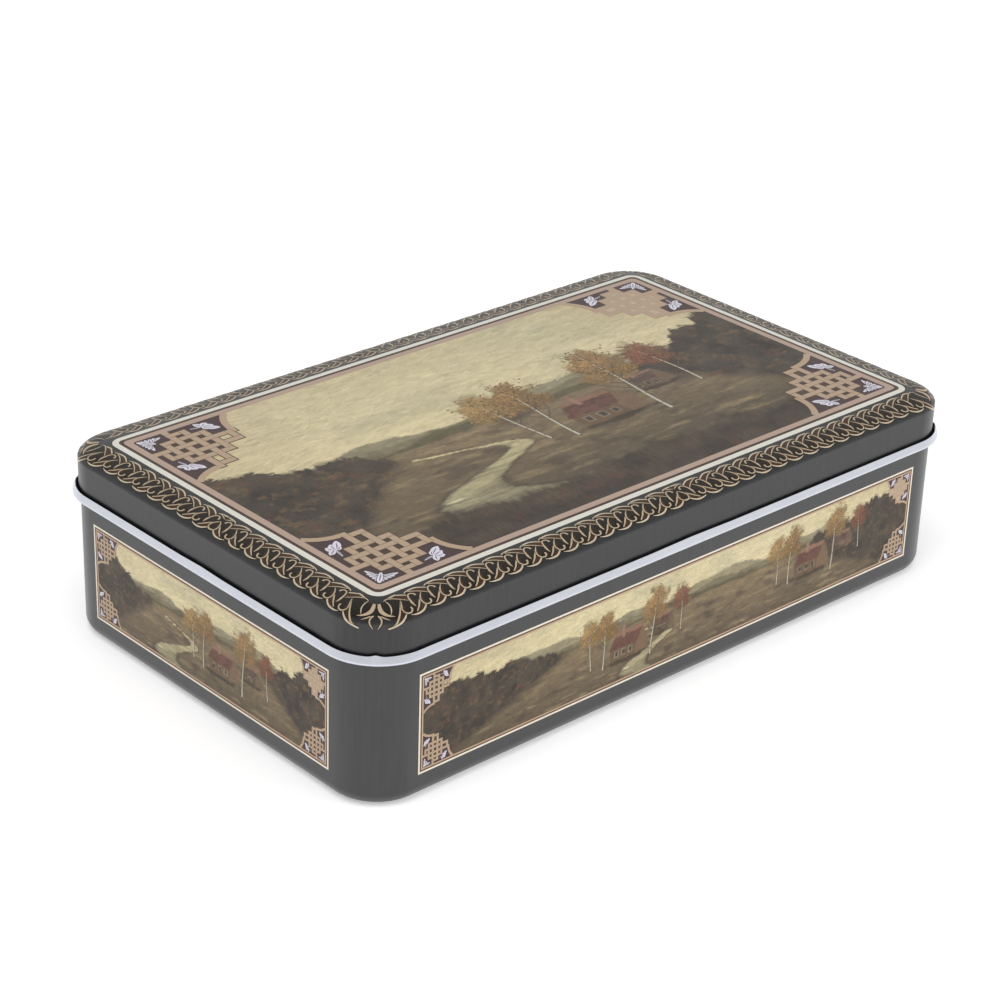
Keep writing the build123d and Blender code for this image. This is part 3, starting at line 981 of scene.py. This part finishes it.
def draw_lattice(piece, place, lift, pale=False):
    """Interlaced straps in one corner, by lengths in from the corner, with the arcs that close them."""
    rim, hole, weave = (STRAP_TAN, HOLE_TAN, STRAP_TAN) if pale else (DARK_BROWN, DARK_BROWN, STRAP_SHADE)
    curve = arc(ARC_CENTRE, ARC_RADIUS, 180, degrees(asin(ARC_CENTRE[1] / ARC_RADIUS)), 15)
    top = np.concatenate([[(0, ARC_CENTRE[1])], curve])
    foot = np.stack([np.linspace(0, curve[-1, 0], 16), np.zeros(16)], 1)
    for there, step in ((place, 0), (swapped(place), LAYER)):
        patch(piece, there, top, foot, CORNER_GROUND, lift + step, steps=40)
        for number, (low, high, start, end) in enumerate(STRAPS):
            level = lift + step / 2 + number * LAYER / 20
            for edge, ink, layer in ((LATTICE_EDGE, rim, 3), (0, STRAP_TAN, 5)):
                box = (start - edge, end + edge), (low - edge, high + edge)
                bar(piece, there, *box, ink, level + layer * LAYER)
        stroke(piece, there, curve, (STRAP,), STRAP_TAN, lift + 6 * LAYER + step / 2)
        draw_petals(piece, there, SPRIG_PETALS, lift + 3 * LAYER, merged=True)
    for first, across in enumerate(STRAPS):
        for second, along in enumerate(STRAPS):
            if all(a[2] <= b[0] and b[1] <= a[3] for a, b in ((across, along), (along, across))):
                over = (first + second) % 2
                for edge in along[:2] if over else across[:2]:
                    line = (edge - WEAVE_LINE / 2, edge + WEAVE_LINE / 2)
                    box = (line, across[:2]) if over else (along[:2], line)
                    bar(piece, place, *box, weave, lift + 7 * LAYER)
    block, shaft = (STRAPS[1][0], STRAPS[4][1]), (STRAPS[2][1], STRAPS[3][0])
    bar(piece, place, block, block, hole, lift + 2 * LAYER)
    if pale:
        for outside in ((STRAPS[0][1], block[0]), (block[1], STRAPS[5][0])):
            bar(piece, place, shaft, outside, hole, lift + 2 * LAYER)
            bar(piece, place, outside, shaft, hole, lift + 2 * LAYER)
    for there in (place, swapped(place)):
        draw_petals(piece, there, CORNER_PETALS, lift + 3 * LAYER)
    draw_petals(piece, place, [TAIL_PETAL], lift + 6 * LAYER)


def draw_lattices(piece, place, half_x, half_y, scale):
    """A lattice in each corner of a rectangle, pale in the one that has the sky behind it."""
    for way_x in (1, -1):
        for way_y in (1, -1):
            there = moved(place, (-way_x * half_x, -way_y * half_y), (way_x * scale, way_y * scale))
            draw_lattice(piece, there, LATTICE, pale=way_x == way_y == -1)


# Print on the lid's top and the four sides
TOP_MIDDLE = -0.4
BAND_OUTER = (HALF_X - 12.85, HALF_Y - 12.75 + TOP_MIDDLE)
BAND_WIDTH = 2.25
IVORY_OUTER = (HALF_X - 9.85, HALF_Y - 9.75 + TOP_MIDDLE)
IVORY_WIDTH = 1.9
PICTURE_STEP = 0.45
PICTURE_UNDER = 0.3
PANEL_LOW, PANEL_HIGH = 7.75, 38.65
PANEL_HALF = (100.25, 53.9)
FRAME_WIDTHS = (0.6, 0.42, 0.5)
SIDE_SCALE = 0.325
HAMLETS = ((1.3, ((-74, -3), (92, 0))), (1.2, ((-8, -4),)))


def draw_picture(piece, place, half_x, half_y, low, high, size=1.0, hamlets=((0, 0),)):
    """The landscape in a rectangle of the print, from one height in the picture to another."""
    across, above = (np.linspace(-half, half, int(2 * half / PICTURE_STEP)) for half in (half_x, half_y))
    spots = np.stack(np.meshgrid(across, above), -1)
    unit = 2 * half_y / (high - low)
    origin = (0, -half_y - low * unit)
    valley = (half_x / unit, size, hamlets)
    piece.grid(place(spots, PAINTING), landscape((spots - origin) / unit, *valley)[0])
    in_picture = moved(place, origin, unit)
    rng = np.random.default_rng(int(half_x))
    draw_brushwork(piece, in_picture, low, high, rng, *valley)
    for across, up in hamlets:
        for number, (near, foot, height, *looks) in enumerate(BIRCHES):
            tree = (across + near * size, up + foot, height * size**TREE_GROWTH, *looks)
            draw_birch(piece, in_picture, rng, TRUNKS + number * LAYER / 50, *tree)


def make_lid_print():
    top = Piece()
    place = moved(on_top, (0, TOP_MIDDLE))
    line_round(top, place, *IVORY_OUTER, 4.0, IVORY_WIDTH, IVORY, INK)
    line_round(top, place, *np.subtract(IVORY_OUTER, IVORY_WIDTH), 2.2, 1.2, DARK_BROWN, GROUND)
    line_round(top, place, *BAND_OUTER, 1.9, BAND_WIDTH, BAND_TAN, INK, least=1.1)
    inner = np.subtract(BAND_OUTER, BAND_WIDTH)
    draw_picture(top, place, *(inner + PICTURE_UNDER), 0, 100)
    draw_lattices(top, place, *inner, 1)
    top.make("lid_top_print", (PRINT,), "lid")


def make_panels():
    panels = Piece()
    for side in range(4):
        place = moved(on_wall(side), (0, (PANEL_LOW + PANEL_HIGH) / 2))
        half = np.array((PANEL_HALF[side % 2], (PANEL_HIGH - PANEL_LOW) / 2))
        for width, ink in zip(FRAME_WIDTHS, (FRAME_CREAM, DARK_BROWN, FRAME_TAN)):
            line_round(panels, place, *half, 0.05, width, ink, INK)
            half -= width
        draw_picture(panels, place, *half, 16, 76, *HAMLETS[side % 2])
        draw_lattices(panels, place, *half, SIDE_SCALE)
    bar(panels, on_wall(2), (SEAM_WIDTH / 2 - 0.16, SEAM_WIDTH / 2), SEAM_HEIGHTS, SEAM_LINE, 2 * INK)
    panels.make("side_panel_print", (PRINT,), "tin_body")


make_lid_print()
make_panels()

# Numbers on the kegs and the cards

def digit_shapes():
    """Points, faces and width of the ten digits, in heights of a digit."""
    shapes = []
    for digit in range(10):
        curve = bpy.data.curves.new("digit", "FONT")
        curve.body = str(digit)
        curve.resolution_u = 3
        written = bpy.data.objects.new("digit", curve)
        mesh = bpy.data.meshes.new_from_object(written)
        points = np.array([point.co[:2] for point in mesh.vertices])
        points -= points.min(axis=0)
        points /= points[:, 1].max()
        shapes.append((points, [tuple(face.vertices) for face in mesh.polygons], points[:, 0].max()))
        bpy.data.objects.remove(written)
        bpy.data.meshes.remove(mesh)
        bpy.data.curves.remove(curve)
    return shapes


DIGITS = digit_shapes()
DIGIT_GAP = 0.12


def spun(plan, turn):
    """Plan points turned about the origin."""
    return plan @ np.array([(cos(turn), sin(turn)), (-sin(turn), cos(turn))])


def write_number(piece, number, centre, height, ink, turn=0.0, finish=0, underlined=False):
    """A number in ink on a level face, turned about its centre, which has three coordinates."""
    digits = [DIGITS[int(digit)] for digit in str(number)]
    width = sum(shape[2] for shape in digits) + DIGIT_GAP * (len(digits) - 1)
    start = -width / 2
    parts = []
    for points, faces, wide in digits:
        parts.append((points + (start, -0.5), faces))
        start += wide + DIGIT_GAP
    if underlined:
        low, high, reach = -0.78, -0.64, width * 0.42
        line = np.array([(-reach, low), (reach, low), (reach, high), (-reach, high)])
        parts.append((line, [(0, 1, 2, 3)]))
    for points, faces in parts:
        piece.add(raised(spun(points * height, turn), 0) + centre, faces, ink, finish)


# Kegs: turned barrels in close-packed columns, numbered on their upper ends
KEG_LOW, KEG_HIGH = span("kegs")
KEG_HALF = (KEG_HIGH[2] - KEG_LOW[2]) / 2
KEG_RADIUS = 8.4
KEG_PITCH = 17.0
KEG_COLUMNS = 12
KEG_ROWS = (7, 8)
KEG_END, KEG_DISH, DISH_DEPTH = 7.35, 5.7, 0.25
KEG_SIDES = 20
GROOVE, GROOVE_HEIGHT = 0.28, 8.95
HOOP = (4.85, 5.15)
NUMBER_HEIGHT, NUMBER_LIFT, NUMBER_BROWN = 4.9, 0.03, (58, 26, 22)


def keg_section():
    """Radii and heights of a keg's outline from the middle of one end to the middle of the other."""
    dish = KEG_HALF - DISH_DEPTH
    upper = [(0.01, dish), (KEG_DISH - 0.35, dish), (KEG_DISH, KEG_HALF - 0.02), (KEG_END - 0.75, KEG_HALF),
             (KEG_END - 0.3, KEG_HALF - 0.12), (KEG_END - 0.02, KEG_HALF - 0.55)]
    for height in (11.0, 9.4, GROOVE_HEIGHT, 8.5, 6.4, 3.2, 0):
        bulge = KEG_RADIUS - (KEG_RADIUS - KEG_END) * (height / KEG_HALF) ** 2
        upper.append((bulge - (GROOVE if height == GROOVE_HEIGHT else 0), height))
    return np.array(upper + [(radius, -height) for radius, height in upper[-2::-1]])


def make_kegs():
    rng = np.random.default_rng(90)
    section = keg_section()
    circle = ways(np.arange(KEG_SIDES) * 2 * pi / KEG_SIDES)
    keg = raised(section[:, None, :1] * circle, section[:, 1:])[:, ::-1]
    hoop = raised(np.multiply.outer(HOOP, circle), 0)[:, ::-1]
    spots = []
    for column in range(KEG_COLUMNS):
        rows = KEG_ROWS[column % 2]
        x = KEG_LOW[0] + KEG_RADIUS + column * KEG_PITCH * sqrt(3) / 2
        spots += [(x, (row - (rows - 1) / 2) * KEG_PITCH) for row in range(rows)]
    kegs = Piece()
    for spot, number in zip(spots, rng.permutation(len(spots)) + 1):
        tone = linear((224, 186, 134)) * rng.uniform(0.86, 1.1)
        turn = rng.uniform(-pi, pi)
        kegs.grid(keg + (*spot, KEG_LOW[2] + KEG_HALF), tone, ring=True)
        face = (*spot, KEG_HIGH[2] - DISH_DEPTH + NUMBER_LIFT)
        write_number(kegs, number, face, NUMBER_HEIGHT, NUMBER_BROWN, turn, 1, underlined=True)
        kegs.grid(hoop + face, NUMBER_BROWN, 1, ring=True)
    kegs.make("keg_set", (WOOD, PRINT), "tin_body", "kegs", crease=50)


make_kegs()

# Cards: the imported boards, with a printed grid on the two that lie uppermost
TOP_CARDS = ("card_12", "card_24")
CARD_ROWS, CARD_COLUMNS, CARD_NUMBERS = 3, 9, 5
CARD_MARGINS = (6.0, 5.0)
CARD_LINE, CARD_RED = 0.35, (112, 40, 34)
CARD_LIFT, CARD_NUMBER_HEIGHT, CARD_BLACK = 0.02, 9.5, (40, 34, 32)


def finish_node(name, material):
    """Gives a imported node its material."""
    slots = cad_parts[name].data.materials
    slots.clear()
    slots.append(material)


def make_card_prints():
    rng = np.random.default_rng(24)
    prints = Piece()
    for name in TOP_CARDS:
        low, high = span(name)
        level = high[2] + CARD_LIFT
        columns, rows = (np.linspace(low[k] + CARD_MARGINS[k], high[k] - CARD_MARGINS[k], count + 1)
                         for k, count in enumerate((CARD_COLUMNS, CARD_ROWS)))
        half = CARD_LINE / 2
        for x in columns:
            bar(prints, raised, (x - half, x + half), rows[[0, -1]], CARD_RED, level)
        for y in rows:
            bar(prints, raised, columns[[0, -1]], (y - half, y + half), CARD_RED, level + LAYER)
        for row in range(CARD_ROWS):
            for column in rng.permutation(CARD_COLUMNS)[:CARD_NUMBERS]:
                number = column * 10 + rng.integers(1, 10)
                centre = (columns[column:column + 2].mean(), rows[row:row + 2].mean(), level)
                write_number(prints, number, centre, CARD_NUMBER_HEIGHT, CARD_BLACK)
    prints.make("card_print", (PRINT,), "tin_body")


for card in range(1, 25):
    finish_node(f"card_{card:02d}", CARD_BOARD)
make_card_prints()
finish_node("bottom_plate", TIN)

# Cover chips: small squares of board, stacked by hand
CHIP_LOW, CHIP_HIGH = span("chips")
CHIP_SIDE, CHIP_THICKNESS, CHIP_RADIUS, CHIP_EDGE = 13.0, 1.2, 0.9, 0.2
CHIP_STACKS = (3, 2)
CHIP_LAYERS = 10


def make_chips():
    rng = np.random.default_rng(60)
    chips = Piece()
    half, rise = CHIP_SIDE / 2, (CHIP_HIGH[2] - CHIP_LOW[2] - CHIP_THICKNESS) / (CHIP_LAYERS - 1)
    edges = ((CHIP_EDGE, 0), (0, CHIP_EDGE), (0, CHIP_THICKNESS - CHIP_EDGE), (CHIP_EDGE, CHIP_THICKNESS))
    shape = np.stack([raised(rounded(half - inset, half - inset, CHIP_RADIUS, 3), height)
                      for inset, height in edges])
    for i in range(CHIP_STACKS[0]):
        for j in range(CHIP_STACKS[1]):
            share = np.array((i / (CHIP_STACKS[0] - 1), j / (CHIP_STACKS[1] - 1)))
            spot = CHIP_LOW[:2] + half + share * (CHIP_HIGH[:2] - CHIP_LOW[:2] - CHIP_SIDE)
            for layer in range(CHIP_LAYERS):
                turn = radians(rng.uniform(-1.2, 1.2))
                shift = rng.uniform(-0.2, 0.2, 2)
                plan = spun(shape[..., :2], turn) + spot + shift
                placed = raised(plan, shape[..., 2] + CHIP_LOW[2] + layer * rise)
                chips.grid(placed, ring=True)
                chips.cap(placed[-1])
                chips.cap(placed[0], flip=True)
    chips.make("cover_chips", (CHIP_BOARD,), "tin_body", "chips", crease=30)


make_chips()

# Keg bag: four plies of cotton, folded to and fro
BAG_LOW, BAG_HIGH = span("keg_bag")
BAG_RUNS = 5
BAG_PLIES = 4
BAG_STATIONS = 41
PLY = 0.42
PLY_PITCH = 0.62


def folded_line(offset, half, pitch):
    """Section of a strip folded to and fro, so far to one side of its middle line."""
    points = []
    for run in range(BAG_RUNS):
        way = 1 if run % 2 == 0 else -1
        level = pitch * (run + 0.5) + way * offset
        points += [(way * share * half, level) for share in np.linspace(-1, 1, 15)]
        if run < BAG_RUNS - 1:
            radius = pitch / 2 - way * offset
            fold = arc((0, 0), radius, -90, 180, 8)[1:-1]
            points += [(way * (half + out), pitch * (run + 1) + up) for out, up in fold]
    return np.array(points)


def make_bag():
    rng = np.random.default_rng(5)
    size, middle = BAG_HIGH - BAG_LOW, (BAG_LOW + BAG_HIGH) / 2
    pitch = size[2] / BAG_RUNS
    half = size[0] / 2 - pitch / 2 - PLY_PITCH * BAG_PLIES / 2
    cut = 0.0
    bag = Piece()
    for ply in range(BAG_PLIES):
        offset = (ply - (BAG_PLIES - 1) / 2) * PLY_PITCH
        reach = size[1] / 2 - rng.uniform(0.3, 1.6)
        sides = []
        for face in (-PLY / 2, PLY / 2):
            line = folded_line(offset + face, half, pitch)[:, None]
            stations = np.linspace(-reach, reach, BAG_STATIONS)
            x, z, y = np.broadcast_arrays(line[..., 0], line[..., 1], stations)
            wave = 0.55 * (clouds(x / 9 + 40, y / 14, 3, 50) - 0.5) * limit(z / size[2])
            crown = -0.9 * (np.abs(y) / reach) ** 4 * z / size[2]
            edge = 0.9 * (clouds(z / 3, x / 12, 2, 51 + ply) - 0.5) * (y / reach) ** 3
            slump = 0.5 * (clouds(y / 18, z / 6, 2, 61) - 0.5)
            points = np.stack([x + slump, y + edge, z + wave + crown - 0.35], -1)
            points += (*middle[:2], BAG_LOW[2])
            points[..., 2] = np.clip(points[..., 2], BAG_LOW[2] + 0.02, BAG_HIGH[2] + 0.3)
            sides.append(points)
        cut += lengths_along(folded_line(offset, half, pitch))[-1] * 2 * reach
        bag.slab(*sides)
    made = bag.make("folded_bag", (COTTON,), "tin_body", "keg_bag", crease=60)


make_bag()

# Rules leaflet: one sheet folded once, its print only ruled lines and a small grid
LEAF_LOW, LEAF_HIGH = span("rules_leaflet")
LEAF_THICK = 0.14
LEAF_RUN_STEPS, LEAF_STATIONS = 30, 48
LEAF_PAPER, RULED_GREY = (232, 228, 214), (120, 116, 110)
RULED_LIFT, RULED_LINES, RULED_PARAGRAPH, RULED_PITCH, RULED_WIDTH = 0.02, 15, 5, 0.052, 0.012


def leaf_sides():
    """The two faces of the folded sheet."""
    size = LEAF_HIGH - LEAF_LOW
    half_gap = (size[2] - LEAF_THICK) / 2
    runs = np.linspace(1, 0, LEAF_RUN_STEPS)
    out = half_gap + (size[0] - half_gap) * runs
    lower = np.stack([out, np.full_like(out, LEAF_THICK / 2)], 1)
    fold = arc((half_gap, LEAF_THICK / 2 + half_gap), half_gap, -90, -180, 5)[1:-1]
    upper = np.stack([out, LEAF_THICK / 2 + 2 * half_gap + 1.3 * runs**2], 1)[::-1]
    line = np.concatenate([lower, fold, upper])
    sides = []
    for way in (-1, 1):
        turned = (line + way * sideways(line) * LEAF_THICK / 2 + LEAF_LOW[[0, 2]])[:, None]
        stations = np.linspace(LEAF_LOW[1], LEAF_HIGH[1], LEAF_STATIONS)
        x, z, y = np.broadcast_arrays(turned[..., 0], turned[..., 1], stations)
        sag = 0.35 * (clouds(x / 12, y / 16, 2, 70) - 0.5) * limit(z - LEAF_LOW[2])
        sides.append(np.stack([x, y, z + sag + 0.45], -1))
    return sides


def on_leaf(top):
    """Places print on the upper leaf by shares of its length and width."""
    last = np.array(top.shape[1::-1]) - 1

    def place(spots, lift):
        j, i = np.moveaxis(np.clip(spots * last, 0, last - 0.001), -1, 0)
        i0, j0 = i.astype(int), j.astype(int)
        u, v = (i - i0)[..., None], (j - j0)[..., None]
        near = top[i0, j0] * (1 - v) + top[i0, j0 + 1] * v
        far = top[i0 + 1, j0] * (1 - v) + top[i0 + 1, j0 + 1] * v
        return near * (1 - u) + far * u + (0, 0, lift)

    return place


def make_leaflet():
    leaflet = Piece()
    sides = leaf_sides()
    leaflet.slab(*sides, LEAF_PAPER)
    upper = max(sides, key=lambda side: side[-1, 0, 2])
    place = on_leaf(upper[-LEAF_RUN_STEPS:])
    rng = np.random.default_rng(11)
    for row in range(RULED_LINES):
        across = 0.1 + row * RULED_PITCH
        last = rng.uniform(0.55, 0.8) if (row + 1) % RULED_PARAGRAPH == 0 else 0.94
        above = (across, across + RULED_WIDTH)
        bar(leaflet, place, np.linspace(0.46, last, 40), above, RULED_GREY, RULED_LIFT)
    for across in 0.14 + np.arange(10) * 0.08:
        above = (across, across + 0.009)
        bar(leaflet, place, np.linspace(0.07, 0.4, 20), above, RULED_GREY, RULED_LIFT)
    for along in 0.07 + np.arange(4) * 0.11:
        above = np.linspace(0.14, 0.869, 20)
        bar(leaflet, place, (along, along + 0.004), above, RULED_GREY, RULED_LIFT + LAYER)
    leaflet.make("folded_leaflet", (PAPER,), "tin_body", "rules_leaflet")


make_leaflet()

# Stage: floor, light and camera
CAMERA_AZIMUTH, CAMERA_ELEVATION, CAMERA_ROLL = radians(-43.132), radians(26.501), radians(1.982)
CAMERA_TARGET = np.array((2.24, 10.21, 26.12))
CAMERA_DISTANCE = 810.4
CAMERA_LENS, CAMERA_SENSOR = 94.84, 36
FLOOR_REACH = 12000
FLOOR_GLOW = 0.36
SKY_LIGHT = (1.0, 0.3)
LAMP_SIZE = 900


def stand(name, thing, axes, place):
    """Puts a camera or lamp at a place, with its own axes along the given ones."""
    made = bpy.data.objects.new(name, thing)
    matrix = np.eye(4)
    matrix[:3, :3] = np.stack(axes, 1)
    matrix[:3, 3] = np.array(place) / METRE
    made.matrix_world = Matrix(matrix.tolist())
    bpy.context.scene.collection.objects.link(made)
    return made


def make_camera():
    azimuth, elevation, roll = CAMERA_AZIMUTH, CAMERA_ELEVATION, CAMERA_ROLL
    right = np.array((cos(azimuth), sin(azimuth), 0))
    back = np.array((sin(azimuth) * cos(elevation), -cos(azimuth) * cos(elevation), sin(elevation)))
    up = np.cross(back, right)
    across, above = cos(roll) * right + sin(roll) * up, cos(roll) * up - sin(roll) * right
    lens = bpy.data.cameras.new("camera")
    lens.lens = CAMERA_LENS
    lens.sensor_width = CAMERA_SENSOR
    place = CAMERA_TARGET + back * CAMERA_DISTANCE
    bpy.context.scene.camera = stand("camera", lens, (across, above, back), place)


def make_stage():
    nodes = new_finish("pale_floor")
    more = {"Roughness": 0.9, "Emission Color": (1, 1, 1, 1), "Emission Strength": FLOOR_GLOW}
    pale = nodes.shade((240, 240, 241), ((nodes.noise(2), 1, (243, 243, 244)),), more=more)
    floor = Piece()
    reach = (-FLOOR_REACH, FLOOR_REACH)
    bar(floor, raised, reach, reach, WHITE, 0)
    floor.make("floor", (pale,))
    sky = Nodes(bpy.data.worlds.new("studio"))
    upright = sky.add("SeparateXYZ", {"Vector": sky.add("TexCoord", {}, "Generated")}, "Z")
    light = {"Strength": sky.ramp(upright, *SKY_LIGHT, 0, 1), "Color": (1, 1, 1, 1)}
    sky.feed(sky.tree.nodes["Background"], light)
    bpy.context.scene.world = sky.owner


def make_light(name, place, target, power):
    """A large soft lamp that faces a point."""
    lamp = bpy.data.lights.new(name, "AREA")
    lamp.shape = "SQUARE"
    lamp.size = LAMP_SIZE / METRE
    lamp.energy = power
    back = np.subtract(place, target, dtype=float)
    back /= np.linalg.norm(back)
    side = np.cross((0, 0, 1), back)
    side /= np.linalg.norm(side)
    stand(name, lamp, (side, np.cross(back, side), back), place).visible_glossy = False


make_camera()
make_stage()
make_light("key_light", (-500, -300, 1400), (0, 0, 0), 9)
make_light("fill_light", (900, -1200, 700), (0, 0, 30), 5)
bpy.context.scene.view_settings.view_transform = "Standard"
